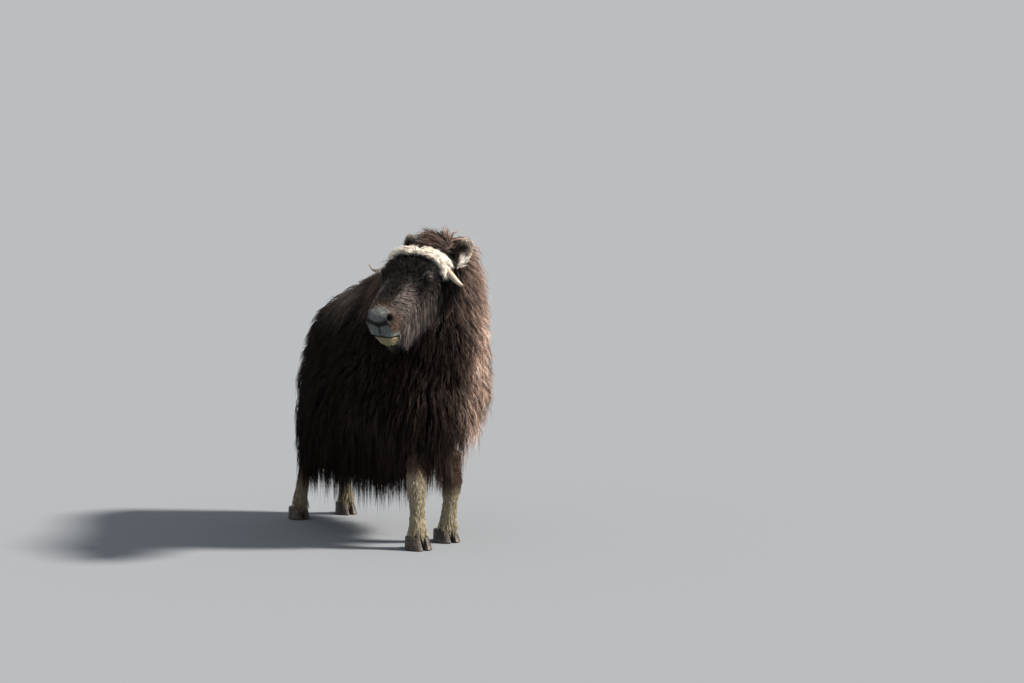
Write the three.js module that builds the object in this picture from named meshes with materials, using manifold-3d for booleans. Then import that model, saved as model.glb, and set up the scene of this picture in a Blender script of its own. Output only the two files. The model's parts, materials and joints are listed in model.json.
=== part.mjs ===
// A young muskox standing still on all four feet, its head turned to its right.
// Millimetres, +Z up. The animal faces -Y and its left side is +X.
// The solids take in the coat, out to the tips of the hair.
import * as THREE from "three";
import { mergeVertices } from "three/addons/utils/BufferGeometryUtils.js";
import Module from "manifold-3d";

const wasm = await Module();
wasm.setup();

// Driving dimensions
const MANE_HEIGHT = 1140; // floor to the top of the mane over the withers
const TRUNK_LENGTH = 1025; // chest to rump, over the coat
const COAT_WIDTH = 606; // across the coat behind the shoulders
const HEM_HEIGHT = 205; // floor to the lower edge of the long hair
const HEAD_LENGTH = 368; // brow crest to nose
const HEAD_TURN = -60; // degrees, to its right
const NOSE_DOWN = 33; // degrees below the level
const HEAD_TILT = 5; // degrees, left side down
const HOOF_HEIGHT = 46;
const GAP = 0.3; // between neighbouring solids

const CREST = [-165, -540, 1081]; // middle of the brow crest
const RUMP = 500;
const FRONT_FEET = { left: [73, -343], right: [-98, -432] };
const HIND_FEET = { left: [87, 420], right: [-122, 410] };
const SIDES = { left: 1, right: -1 };
const ELBOW = -385; // over the chest's midline, between the two front feet
const CHEST_SWAY = 55; // the chest leans towards the leg that stands ahead

const UP = new THREE.Vector3(0, 0, 1);
const FORWARD = new THREE.Vector3(0, -1, 0);

const COLOURS = {
  coat: [0x2e221c, 0.85],
  face: [0x241b18, 0.8],
  leg: [0xb3a48c, 0.85],
  horn: [0xcdbf9f, 0.45],
  hoof: [0x2b2622, 0.5],
  eye: [0x120d0a, 0.1],
};

// Closed skin over a row of stations. Each station has its place, its half width (side), its reach
// above and below that place, and how square its section is above (top) and below (foot).
function loft(stations, options = {}) {
  const { around = 24, along = 18, blunt = 4, across = null, reference = UP, grow = 0 } = options;
  const curve = (read) => new THREE.CatmullRomCurve3(stations.map(read));
  const spine = curve((s) => new THREE.Vector3(...s.at));
  const reach = curve((s) => new THREE.Vector3(s.side, s.up, s.down));
  const square = curve((s) => new THREE.Vector3(s.top ?? 2, s.foot ?? 2, 0));
  const geometry = new THREE.SphereGeometry(1, around, along);
  const place = geometry.getAttribute("position");
  const on = new THREE.Vector3();
  for (let i = 0; i < place.count; i++) {
    on.fromBufferAttribute(place, i);
    const share = (1 - THREE.MathUtils.clamp(on.y, -1, 1)) / 2;
    const ring = Math.max(0, 1 - Math.abs(2 * share - 1) ** blunt) ** (1 / blunt);
    const ahead = across ?? spine.getTangent(share);
    const left = new THREE.Vector3().crossVectors(reference, ahead).normalize();
    const above = new THREE.Vector3().crossVectors(ahead, left);
    const size = reach.getPoint(share);
    const round = Math.hypot(on.x, on.z) || 1;
    const [c, s] = [on.x / round, on.z / round];
    const power = s > 0 ? square.getPoint(share).x : square.getPoint(share).y;
    const bulge = ring / (Math.abs(c) ** power + Math.abs(s) ** power || 1) ** (1 / power);
    const skin = ring > 0 ? grow : 0;
    const point = spine
      .getPoint(share)
      .addScaledVector(ahead, (2 * share - 1) * grow)
      .addScaledVector(left, c * (size.x * bulge + skin))
      .addScaledVector(above, s * ((s > 0 ? size.y : size.z) * bulge + skin));
    place.setXYZ(i, ...point);
  }
  return solid(geometry);
}

function solid(geometry) {
  geometry.deleteAttribute("normal");
  geometry.deleteAttribute("uv");
  const merged = mergeVertices(geometry, 1e-3);
  const vertProperties = merged.attributes.position.array;
  const triVerts = new Uint32Array(merged.index.array);
  const made = new wasm.Manifold(new wasm.Mesh({ numProp: 3, vertProperties, triVerts }));
  if (made.volume() > 0) return made;
  for (let i = 0; i < triVerts.length; i += 3) {
    [triVerts[i + 1], triVerts[i + 2]] = [triVerts[i + 2], triVerts[i + 1]];
  }
  return new wasm.Manifold(new wasm.Mesh({ numProp: 3, vertProperties, triVerts }));
}

const join = (first, ...others) => others.reduce((sum, other) => sum.add(other), first);

// What is left of a solid after the cuts, without slivers that come loose
function cut(first, ...others) {
  const rest = others.reduce((left, other) => left.subtract(other), first);
  const pieces = rest.decompose().sort((a, b) => b.volume() - a.volume());
  return pieces[0];
}

function meshOf(name, shape, [color, roughness]) {
  const { numProp, vertProperties, triVerts } = shape.getMesh();
  const geometry = new THREE.BufferGeometry()
    .setAttribute("position", new THREE.BufferAttribute(vertProperties, numProp))
    .setIndex(new THREE.BufferAttribute(triVerts, 1));
  geometry.computeVertexNormals();
  const material = new THREE.MeshStandardMaterial({ color, roughness, metalness: 0 });
  const mesh = new THREE.Mesh(geometry, material);
  mesh.name = name;
  return mesh;
}

// The head's own frame starts at the middle of the brow crest; -Y runs down the face to the nose
const turn = [NOSE_DOWN, HEAD_TILT, HEAD_TURN].map(THREE.MathUtils.degToRad);
const headPlace = new THREE.Matrix4()
  .makeRotationFromEuler(new THREE.Euler(...turn, "ZXY"))
  .setPosition(...CREST);
const fromHead = (shape) => shape.transform(headPlace.elements);

// A place on the head: a share of the way from crest to nose, then left of and above the face line
const onHead = (share, left, rise) => [left, -share * HEAD_LENGTH, rise];

function trunkCoat(grow = 0) {
  const row = [
    // share of the length from the rump, half width, widest level, back and hem, squareness
    { from: 0.0, wide: 0.2, level: 450, back: 0.6, hem: 0.78, top: 2.0, foot: 5 },
    { from: 0.09, wide: 0.47, level: 450, back: 0.713, hem: 0.76, top: 1.9, foot: 5.5 },
    { from: 0.215, wide: 0.7, level: 450, back: 0.765, hem: 0.78, top: 1.85, foot: 4.6 },
    { from: 0.37, wide: 0.84, level: 470, back: 0.807, hem: 0.8, top: 1.95, foot: 3.6 },
    { from: 0.54, wide: 0.925, level: 505, back: 0.845, hem: 0.84, top: 2.1, foot: 2.7 },
    { from: 0.69, wide: 0.98, level: 545, back: 0.91, hem: 0.92, top: 2.1, foot: 2.2 },
    { from: 0.82, wide: 0.97, level: 575, back: 0.965, hem: 1.02, top: 2.4, foot: 2.0 },
    { from: 0.92, wide: 0.74, level: 600, back: 0.91, hem: 1.1, top: 2.4, foot: 1.95 },
    { from: 1.0, wide: 0.48, level: 600, back: 0.78, hem: 1.2, top: 2.0, foot: 2.0 },
  ];
  const stations = row.map(({ from, wide, level, back, hem, top, foot }) => ({
    at: [-CHEST_SWAY * Math.max(0, from - 0.7), RUMP - from * TRUNK_LENGTH, level],
    side: (wide * COAT_WIDTH) / 2,
    up: back * MANE_HEIGHT - level,
    down: level - hem * HEM_HEIGHT,
    top,
    foot,
  }));
  return loft(stations, { around: 30, along: 20, blunt: 5, across: FORWARD, grow });
}

// Long hair that falls over the top of a front leg
function apron([x, y]) {
  const row = [
    // level, place ahead of the foot, half width, reach forward and back
    [440, -8, 74, 62, 80],
    [350, 2, 70, 64, 70],
    [255, 10, 56, 55, 54],
  ];
  const stations = row.map(([level, ahead, wide, front, back]) => ({
    at: [x, y - ahead - ((y - ELBOW) * level) / 400, level],
    side: wide,
    up: front,
    down: back,
  }));
  return loft(stations, { around: 12, along: 6, blunt: 5, reference: FORWARD });
}

// The neck carries the mane and swings with the head
function neckCoat(grow = 0) {
  const stations = [
    { at: [15, -265, 780], side: 168, up: 315, down: 250, top: 2.2 },
    { at: [26, -355, 800], side: 194, up: 340, down: 310, top: 2.15 },
    { at: [6, -435, 830], side: 169, up: 295, down: 330, top: 2.2 },
    { at: [-56, -505, 875], side: 150, up: 205, down: 290, top: 2.2 },
    { at: [-113, -550, 915], side: 106, up: 115, down: 210 },
  ];
  const across = new THREE.Vector3(-0.4, -0.9, 0.1).normalize();
  return loft(stations, { around: 24, along: 12, across, grow });
}

const WOOL = { side: 27, up: 21, down: 21 };

function skull(grow) {
  const row = [
    // share of the way to the nose, half width, widest level, top and bottom lines
    [-0.34, 76, -125, -80, -180],
    [-0.17, 100, -105, -38, -210],
    [0.0, 109, -85, -3, -225],
    [0.18, 108, -78, -2, -230],
    [0.3, 101, -75, -3, -224],
    [0.44, 82, -84, -4, -206],
    [0.6, 69, -88, -5, -186],
    [0.76, 62, -86, -6, -168],
    [0.9, 58, -80, -9, -150],
    [1.0, 54, -72, -16, -128],
  ];
  const stations = row.map(([share, side, rise, top, bottom]) => ({
    at: onHead(share, 0, rise),
    side,
    up: top - rise,
    down: rise - bottom,
    top: 2.3,
    foot: 2.8,
  }));
  return loft(stations, { around: 22, along: 16, blunt: 7, across: FORWARD, grow });
}

// Pale wool that runs across the brow and wraps the root of each horn
function browBand(grow) {
  const stations = [-108, -72, -36, 0, 36, 72, 108].map((degrees) => {
    const angle = THREE.MathUtils.degToRad(degrees);
    const rise = -101 + 88 * Math.cos(angle);
    return { at: onHead(0.05 - 0.04 * Math.cos(angle), 117 * Math.sin(angle), rise), ...WOOL };
  });
  return loft(stations, { around: 8, along: 16, blunt: 3, grow });
}

function socketRim(side, grow) {
  const stations = [
    { at: onHead(0.12, side * 76, -40), side: 22, up: 20, down: 24 },
    { at: onHead(0.29, side * 79, -42), side: 23, up: 25, down: 27 },
    { at: onHead(0.45, side * 66, -50), side: 16, up: 18, down: 22 },
  ];
  return loft(stations, { around: 10, along: 7, blunt: 3, grow });
}

const headCoat = (grow = 0) =>
  join(skull(grow), browBand(grow), socketRim(1, grow), socketRim(-1, grow));

function jawCoat(grow = 0) {
  const row = [
    // share of the way to the nose, half width, widest level, top and bottom lines
    [0.05, 90, -150, -100, -246],
    [0.3, 84, -140, -90, -242],
    [0.55, 66, -125, -80, -226],
    [0.78, 55, -118, -80, -208],
    [0.975, 47, -108, -80, -184],
  ];
  const stations = row.map(([share, side, rise, top, bottom]) => ({
    at: onHead(share, 0, rise),
    side,
    up: top - rise,
    down: rise - bottom,
  }));
  return loft(stations, { around: 18, along: 11, blunt: 4, across: FORWARD, grow });
}

const EYE_RADIUS = 17;

function eyeball(side, grow = 0) {
  const ball = new THREE.SphereGeometry(EYE_RADIUS + grow, 12, 8).rotateZ(Math.PI / 2);
  return solid(ball.translate(...onHead(0.29, side * 91, -42)));
}

// The left horn hangs a little lower than the right, and the right one reaches out a little less
const HORN_LIFT = { left: -9, right: 32 };
const HORN_TUCK = { left: 0, right: 10 };

function horn(name, grow = 0) {
  const row = [
    [0.03, 86, -58, 19],
    [0.06, 120, -84, 13.5],
    [0.09, 146, -100, 10],
    [0.115, 166, -106, 7],
    [0.13, 179, -102, 4.2],
    [0.135, 187, -91, 2],
  ];
  const stations = row.map(([share, out, rise, radius], i) => {
    const reach = SIDES[name] * (out - (HORN_TUCK[name] * i) / 5);
    const lift = HORN_LIFT[name] * (i / 5) ** 1.5;
    return { at: onHead(share, reach, rise + lift), side: radius, up: radius, down: radius };
  });
  return loft(stations, { around: 10, along: 12, blunt: 6, reference: FORWARD, grow });
}

// The right ear is held closer to the head
const EAR_TUCK = 15;

// An ear is a leaf, hollow on the side that faces forward
function ear(side, scooped = true, grow = 0) {
  const tuck = side < 0 ? EAR_TUCK : 0;
  const row = [
    // share of the way to the nose, left, level, half width, half thickness
    [-0.17, 86, -120, 22, 20],
    [-0.24, 103, -102, 32, 18],
    [-0.31, 115, -83, 34, 14],
    [-0.37, 121, -66, 26, 10],
    [-0.4, 124, -54, 12, 7],
  ];
  const leaf = row.map(([share, out, rise, wide, thick]) => ({
    at: onHead(share, side * (out - tuck), rise - tuck / 3),
    side: wide,
    up: thick,
    down: thick,
  }));
  const facing = new THREE.Vector3(side * 0.3, -0.85, 0.2).normalize();
  const shape = loft(leaf, { around: 11, along: 7, blunt: 3, reference: facing, grow });
  if (!scooped) return shape;
  const scoop = leaf.slice(1, 4).map((s) => ({
    at: new THREE.Vector3(...s.at).addScaledVector(facing, 1.2 * s.up).toArray(),
    side: 0.64 * s.side,
    up: s.up,
    down: 1.3 * s.up,
  }));
  return cut(shape, loft(scoop, { around: 8, along: 6, blunt: 3, reference: facing }));
}

// The upper part of each leg is inside the coat
function frontLeg([x, y], side, grow = 0) {
  const sway = (level) => ((y - ELBOW) * level) / 400;
  const row = [
    // level, place ahead of the foot and nearer the middle, half width, reach forward and back
    [360, 14 + sway(360), 8, 46, 50, 52],
    [240, 14 + sway(240), 0, 44, 45, 43],
    [195, 12 + sway(195), 0, 37, 38, 39],
    [140, 10 + sway(140), 0, 28, 29, 33],
    [92, 6 + sway(92), 0, 32, 33, 38],
    [HOOF_HEIGHT - 10, 2, 0, 37, 42, 40],
  ];
  return leg(row, [x, y], side, grow);
}

function hindLeg([x, y], side, grow = 0) {
  const row = [
    [370, 44, 34, 40, 50, 50],
    [275, 16, 32, 34, 38, 40],
    [200, 14, 22, 28, 31, 34],
    [140, 10, 12, 25, 27, 30],
    [88, 5, 4, 28, 31, 35],
    [HOOF_HEIGHT - 10, -2, 0, 32, 36, 34],
  ];
  return leg(row, [x, y], side, grow);
}

function leg(row, [x, y], side, grow) {
  const stations = row.map(([level, ahead, inward, wide, front, back]) => ({
    at: [x - side * inward, y - ahead, level],
    side: wide,
    up: front,
    down: back,
  }));
  return loft(stations, { around: 12, along: 9, blunt: 9, reference: FORWARD, grow });
}

// One claw of a cloven hoof: flat sole, outer wall that slopes in, straight inner wall
function claw([x, y], way, breadth, length, grow = 0) {
  const shape = new THREE.CylinderGeometry(1, 1, 1, 16).rotateX(Math.PI / 2);
  const place = shape.getAttribute("position");
  const inner = 0.22;
  for (let i = 0; i < place.count; i++) {
    const rise = place.getZ(i) + 0.5;
    const taper = 1 - 0.2 * rise;
    const out = place.getX(i) * way;
    const ahead = -place.getY(i);
    const reach = out > 0 ? 1 - inner : inner;
    place.setXYZ(
      i,
      x + way * (2 + inner * breadth + out * (reach * breadth * taper + grow)),
      y - ahead * ((length / 2) * taper + grow) + 0.12 * length * rise,
      rise * (HOOF_HEIGHT + grow),
    );
  }
  return solid(shape);
}

function dewClaws([x, y]) {
  const pair = [-1, 1].map((way) => {
    const ball = new THREE.SphereGeometry(1, 6, 5).scale(9, 9, 13);
    return solid(ball.translate(x + way * 15, y + 36, 68));
  });
  return join(...pair);
}

function dock(grow = 0) {
  const stations = [
    { at: [0, RUMP - 95, 735], side: 34, up: 24, down: 28 },
    { at: [0, RUMP - 52, 690], side: 32, up: 24, down: 24 },
    { at: [0, RUMP - 22, 630], side: 26, up: 20, down: 18 },
    { at: [0, RUMP - 12, 575], side: 16, up: 14, down: 12 },
  ];
  return loft(stations, { around: 12, along: 10, blunt: 3, reference: FORWARD, grow });
}

const MOUTH = { at: onHead(1, 0, -112), slope: THREE.MathUtils.degToRad(27) };
const COLLAR = { at: [0, -235, MANE_HEIGHT], facing: [-0.15, -0.88, 0.45] };

// Two planes half a gap to either side of a place: what lies ahead of it, and what lies behind
function parting(facing, at) {
  const normal = new THREE.Vector3(...facing).normalize();
  const offset = normal.dot(new THREE.Vector3(...at));
  const back = normal.clone().negate();
  return [
    [normal.toArray(), offset + GAP / 2],
    [back.toArray(), -offset + GAP / 2],
  ];
}

const figure = new THREE.Group();
const headTools = [];
const legTools = [];

for (const [name, side] of Object.entries(SIDES)) {
  const parts = {
    eye: [eyeball(side), eyeball(side, GAP), COLOURS.eye],
    horn: [horn(name), horn(name, GAP), COLOURS.horn],
    ear: [ear(side), ear(side, false, GAP), COLOURS.coat],
  };
  for (const [part, [shape, tool, colour]] of Object.entries(parts)) {
    figure.add(meshOf(`${part}_${name}`, fromHead(shape), colour));
    headTools.push(fromHead(tool));
  }
}

// The head is made whole, then parted along the mouth
const whole = join(headCoat(), jawCoat());
const [lipsUp, lipsDown] = parting([0, Math.sin(MOUTH.slope), Math.cos(MOUTH.slope)], MOUTH.at);
const headTool = fromHead(join(headCoat(GAP), jawCoat(GAP)));
const head = fromHead(whole.trimByPlane(...lipsUp));
figure.add(meshOf("head", cut(head, ...headTools), COLOURS.face));
figure.add(meshOf("lower_jaw", cut(fromHead(whole.trimByPlane(...lipsDown))), COLOURS.face));

const legMakers = { front: [frontLeg, FRONT_FEET, 45, 102], hind: [hindLeg, HIND_FEET, 38, 88] };
for (const [pair, [make, feet, breadth, length]] of Object.entries(legMakers)) {
  for (const [name, side] of Object.entries(SIDES)) {
    const foot = feet[name];
    const clawTools = [];
    for (const [place, way] of Object.entries({ inner: -side, outer: side })) {
      const toe = claw(foot, way, breadth, length);
      clawTools.push(claw(foot, way, breadth, length, GAP));
      figure.add(meshOf(`hoof_${pair}_${name}_${place}`, toe, COLOURS.hoof));
    }
    const limb = cut(join(make(foot, side), dewClaws(foot)), ...clawTools);
    figure.add(meshOf(`${pair}_leg_${name}`, limb, COLOURS.leg));
    legTools.push(make(foot, side, GAP));
  }
}

// The coat is made whole, then parted where the neck leaves the shoulders
const aprons = Object.values(FRONT_FEET).map(apron);
const fleece = join(trunkCoat(), neckCoat(), ...aprons);
const coat = cut(fleece, headTool, ...headTools);
const [ahead, behind] = parting(COLLAR.facing, COLLAR.at);
figure.add(meshOf("neck", cut(coat.trimByPlane(...ahead)), COLOURS.coat));
figure.add(meshOf("tail", dock(), COLOURS.coat));
const trunk = cut(coat.trimByPlane(...behind), dock(GAP), ...legTools);
figure.add(meshOf("trunk", trunk, COLOURS.coat));

// The frame's origin is under the middle of the whole figure's box, at floor level
const bounds = new THREE.Box3().setFromObject(figure);
const middle = bounds.getCenter(new THREE.Vector3());
for (const mesh of figure.children) mesh.geometry.translate(-middle.x, -middle.y, -bounds.min.z);

export default figure;
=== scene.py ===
import json
import math

import bpy
import numpy as np
from mathutils import Matrix, Vector
from mathutils.bvhtree import BVHTree
from mathutils.kdtree import KDTree

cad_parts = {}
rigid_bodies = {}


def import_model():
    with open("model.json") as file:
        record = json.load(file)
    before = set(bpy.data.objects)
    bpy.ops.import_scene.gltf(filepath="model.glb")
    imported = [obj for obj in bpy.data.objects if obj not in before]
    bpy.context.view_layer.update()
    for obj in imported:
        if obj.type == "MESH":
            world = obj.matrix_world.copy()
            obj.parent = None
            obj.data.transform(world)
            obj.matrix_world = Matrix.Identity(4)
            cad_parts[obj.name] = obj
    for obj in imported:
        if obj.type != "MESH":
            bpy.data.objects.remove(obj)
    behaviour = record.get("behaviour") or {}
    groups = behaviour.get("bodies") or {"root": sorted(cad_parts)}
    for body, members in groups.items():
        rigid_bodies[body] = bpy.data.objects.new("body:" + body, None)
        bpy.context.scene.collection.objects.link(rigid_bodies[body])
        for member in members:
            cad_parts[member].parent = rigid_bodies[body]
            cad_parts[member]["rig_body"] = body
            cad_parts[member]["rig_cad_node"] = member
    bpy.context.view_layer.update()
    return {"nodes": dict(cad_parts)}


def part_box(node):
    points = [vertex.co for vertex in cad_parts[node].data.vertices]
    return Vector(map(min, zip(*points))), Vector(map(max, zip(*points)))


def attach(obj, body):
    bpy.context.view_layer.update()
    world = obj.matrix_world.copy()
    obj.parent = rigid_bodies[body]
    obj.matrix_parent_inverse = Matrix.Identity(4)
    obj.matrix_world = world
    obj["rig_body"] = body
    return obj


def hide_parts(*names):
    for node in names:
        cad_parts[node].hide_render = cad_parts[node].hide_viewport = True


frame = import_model()

MM = 0.001
CHANCE = np.random.default_rng(11)

# The body's own origin is on the floor between the feet. The outer claw of the left front foot says where.
LEFT_FORE_FOOT = Vector((0.073, -0.343, 0.0))
CLAW_ASIDE, CLAW_AHEAD = 0.002, 0.051
claw_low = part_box("hoof_front_left_outer")[0]
BODY = Vector((claw_low.x - CLAW_ASIDE, claw_low.y + CLAW_AHEAD, 0.0)) - LEFT_FORE_FOOT

# The head's own frame starts on the brow crest: left, towards the nose, and up from the face
HEAD_LENGTH = 0.368
CREST = Vector((-0.165, -0.540, 1.081))
NOSE_DOWN, HEAD_TILT, HEAD_TURN = (math.radians(a) for a in (33, 5, -60))
HEAD = (
    Matrix.Translation(BODY + CREST)
    @ Matrix.Rotation(HEAD_TURN, 4, "Z")
    @ Matrix.Rotation(NOSE_DOWN, 4, "X")
    @ Matrix.Rotation(HEAD_TILT, 4, "Y")
    @ Matrix.Diagonal((1, -1, 1, 1))
)
HEAD_TURNED, HEAD_PLACE = np.array(HEAD)[:3, :3], np.array(HEAD)[:3, 3]
INTO_HEAD = np.array(HEAD.inverted())

# The photo's camera
FOCAL_PIXELS = 2844
SENSOR = 36
FRAME_WIDTH, FRAME_HEIGHT = 1024, 683
HORIZON_ROW, GROUND_ROW, ANIMAL_COLUMN = 70, 533, 380
CAMERA_DISTANCE = 10.4
CAMERA_SIDE = math.radians(30)
CLIP_END = 100

FLESH = (
    "trunk", "neck", "head", "lower_jaw", "tail", "ear_left", "ear_right",
    "front_leg_left", "front_leg_right", "hind_leg_left", "hind_leg_right",
)
TRUNK, NECK, FACE, JAW, TAIL, EAR_LEFT, EAR_RIGHT = range(7)
FIRST_LEG = 7


def in_head(points):
    """Places in the head's own frame: left, towards the nose, up from the face."""
    return points @ INTO_HEAD[:3, :3].T + INTO_HEAD[:3, 3]


def out_of_head(local):
    """Places in the head's own frame, back in the part's frame."""
    return local @ HEAD_TURNED.T + HEAD_PLACE


def fade(low, high, value):
    """A smooth step from 0 at low to 1 at high."""
    share = np.clip((value - low) / (high - low), 0, 1)
    return share * share * (3 - 2 * share)


def unit(vectors):
    return vectors / np.maximum(np.linalg.norm(vectors, axis=-1, keepdims=True), 1e-9)


# Stage

def look_from_the_photo():
    """The camera stands at the animal's front right, a little above its head."""
    height = (GROUND_ROW - HORIZON_ROW) * CAMERA_DISTANCE / FOCAL_PIXELS
    sight = Vector((math.sin(CAMERA_SIDE), math.cos(CAMERA_SIDE), 0))
    aside = math.atan((FRAME_WIDTH / 2 - ANIMAL_COLUMN) / FOCAL_PIXELS)
    down = math.atan((FRAME_HEIGHT / 2 - HORIZON_ROW) / FOCAL_PIXELS)
    level = Matrix.Rotation(-aside, 3, "Z") @ sight
    ahead = level * math.cos(down) - Vector((0, 0, math.sin(down)))
    lens = bpy.data.cameras.new("photo_camera")
    lens.sensor_fit = "HORIZONTAL"
    lens.sensor_width = SENSOR
    lens.lens = FOCAL_PIXELS * SENSOR / FRAME_WIDTH
    lens.clip_end = CLIP_END
    camera = bpy.data.objects.new("photo_camera", lens)
    camera.location = BODY - sight * CAMERA_DISTANCE + Vector((0, 0, height))
    camera.rotation_euler = ahead.to_track_quat("-Z", "Y").to_euler()
    bpy.context.collection.objects.link(camera)
    bpy.context.scene.camera = camera
    right = Vector((level.y, -level.x, 0))
    return right, level


def linear(code):
    """A colour from its sRGB hex value."""
    parts = [int(code[i : i + 2], 16) / 255 for i in (0, 2, 4)]
    return [c / 12.92 if c <= 0.04045 else ((c + 0.055) / 1.055) ** 2.4 for c in parts]


def add_node(tree, kind, settings=(), into=None, **inputs):
    """Adds a node. Settings are its own properties, inputs are values or the sockets that feed it.

    Its first output feeds the socket into, where one is given.
    """
    node = tree.nodes.new(kind)
    for key, value in dict(settings).items():
        setattr(node, key, value)
    for key, value in inputs.items():
        socket = node.inputs[int(key[1:])] if key[0] == "_" else node.inputs[key.replace("_", " ")]
        if isinstance(value, bpy.types.NodeSocket):
            tree.links.new(value, socket)
        else:
            socket.default_value = value
    if into:
        tree.links.new(node.outputs[0], into)
    return node


def new_material(name, **values):
    """A material with its surface's constant values set."""
    material = bpy.data.materials.new(name)
    material.use_nodes = True
    tree = material.node_tree
    surface = tree.nodes["Principled BSDF"]
    for key, value in values.items():
        surface.inputs[key.replace("_", " ")].default_value = value
    return material, tree, surface


def sun_light(name, towards, strength, spread, colour):
    """Light from a wide soft source far away; towards points from the animal to the source."""
    lamp = bpy.data.lights.new(name, "SUN")
    lamp.energy = strength
    lamp.angle = math.radians(spread)
    lamp.color = linear(colour)
    light = bpy.data.objects.new(name, lamp)
    light.rotation_euler = towards.to_track_quat("Z", "Y").to_euler()
    bpy.context.collection.objects.link(light)


SUNS = (
    # name, towards the light as right, ahead and up in the camera's view, strength, spread, colour
    ("key_light", (1.0, -0.12, 0.85), 9.0, 8, "fff3e8"),
    ("front_light", (-0.3, -1.0, 0.8), 0.12, 70, "eaf1ff"),
)
STUDIO_WALL = (0.50, 0.51, 0.52)
FLOOR_SIZE = 400


def set_stage():
    right, ahead = look_from_the_photo()
    lit = np.zeros(3)
    for name, (aside, away, up), strength, spread, colour in SUNS:
        towards = (right * aside + ahead * away + Vector((0, 0, up))).normalized()
        sun_light(name, towards, strength, spread, colour)
        lit += np.array(linear(colour)) * strength * towards.z / math.pi
    world = bpy.data.worlds.new("studio")
    world.use_nodes = True
    world.node_tree.nodes["Background"].inputs["Color"].default_value = (*STUDIO_WALL, 1)
    bpy.context.scene.world = world
    bpy.ops.mesh.primitive_plane_add(size=FLOOR_SIZE, location=(0, 0, 0))
    floor = bpy.context.object
    floor.name = "floor"
    # The floor's paint takes as much light as makes it look like the wall, so no horizon shows
    paint = np.array(STUDIO_WALL) / (np.array(STUDIO_WALL) + lit)
    dull = {"Base_Color": (*paint, 1), "Roughness": 1.0, "Specular_IOR_Level": 0.0}
    floor.data.materials.append(new_material("matte_studio_floor", **dull)[0])
    # The studio's light is judged in plain sRGB
    bpy.context.scene.view_settings.view_transform = "Standard"


# Skin

def pick(*objects):
    bpy.ops.object.select_all(action="DESELECT")
    for thing in objects:
        thing.select_set(True)
    bpy.context.view_layer.objects.active = objects[0]


def take_modifier(piece, kind, **settings):
    pick(piece)
    modifier = piece.modifiers.new(kind.lower(), kind)
    for key, value in settings.items():
        setattr(modifier, key, value)
    bpy.ops.object.modifier_apply(modifier=modifier.name)


def soften(piece, times):
    take_modifier(piece, "SMOOTH", factor=0.5, iterations=times)


def remesh(piece, voxel, smooth):
    take_modifier(piece, "REMESH", mode="VOXEL", voxel_size=voxel)
    soften(piece, smooth)


def edit_all(piece, change, **settings):
    """One edit operator on the whole of a piece."""
    pick(piece)
    bpy.ops.object.mode_set(mode="EDIT")
    bpy.ops.mesh.select_all(action="SELECT")
    change(**settings)
    bpy.ops.object.mode_set(mode="OBJECT")


def node_copy(node):
    """A frame node's shape as a piece of its own, with its loose triangles merged."""
    copy = frame["nodes"][node].copy()
    copy.data = copy.data.copy()
    copy.parent = None
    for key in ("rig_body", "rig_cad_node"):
        del copy[key]
    copy.data.materials.clear()
    bpy.context.collection.objects.link(copy)
    edit_all(copy, bpy.ops.mesh.remove_doubles, threshold=0.01 * MM)
    return copy


def ball(place, radius):
    bpy.ops.mesh.primitive_uv_sphere_add(segments=24, ring_count=14, radius=radius, location=place)
    made = bpy.context.object
    bpy.ops.object.transform_apply(location=True, rotation=True, scale=True)
    return made


# Aside, ahead and up in the head's frame, and radius: under the horns, the eyes and the ears
SOCKETS = (
    (0.092, 0.014, -0.064, 0.027),
    (0.088, 0.107, -0.044, 0.019),
    (0.088, -0.070, -0.115, 0.036),
)


def socket_fillers():
    """Balls that close the sockets of horns, eyes and ears, so that the skin runs on under them."""
    return [ball(HEAD @ Vector((way * l, t, u)), r) for l, t, u, r in SOCKETS for way in (1, -1)]


def fused(name, nodes, voxel, smooth, extra=()):
    """Copies of frame nodes as one closed mesh."""
    copies = [node_copy(node) for node in nodes] + list(extra)
    pick(*copies)
    bpy.ops.object.join()
    made = bpy.context.object
    made.name = name
    remesh(made, voxel, smooth)
    return made


def read(items, field, width, kind=np.float32):
    """One field of many mesh items, a row for each."""
    flat = np.empty(len(items) * width, kind)
    items.foreach_get(field, flat)
    return flat.reshape(-1, width)


def places(piece):
    return read(piece.data.vertices, "co", 3).astype(float)


def facing(piece):
    return read(piece.data.vertex_normals, "vector", 3).astype(float)


def give_colours(piece, layer, colours):
    """A linear colour for every vertex of a piece."""
    shade = np.concatenate([colours, np.ones((*colours.shape[:-1], 1))], -1)
    data = piece.data.color_attributes.new(layer, "FLOAT_COLOR", "POINT").data
    data.foreach_set("color", shade.astype(np.float32).ravel())


def move_to(piece, points):
    piece.data.vertices.foreach_set("co", points.astype(np.float32).ravel())
    piece.data.update()


def shrink(piece, depth):
    """Moves a surface inwards by a depth, or by a depth for each vertex."""
    move_to(piece, places(piece) - facing(piece) * np.asarray(depth).reshape(-1, 1))


# Heights of the waist and the coat's hem, and how much of the drop between them is flesh
WAIST, BELLY_SHARE, HEM = 0.58, 0.62, 0.20
BELLY_NARROWER = 0.22
FLANK_COAT, LESS_ON_BACK, LESS_ON_MANE = 0.052, 0.020, 0.004


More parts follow.
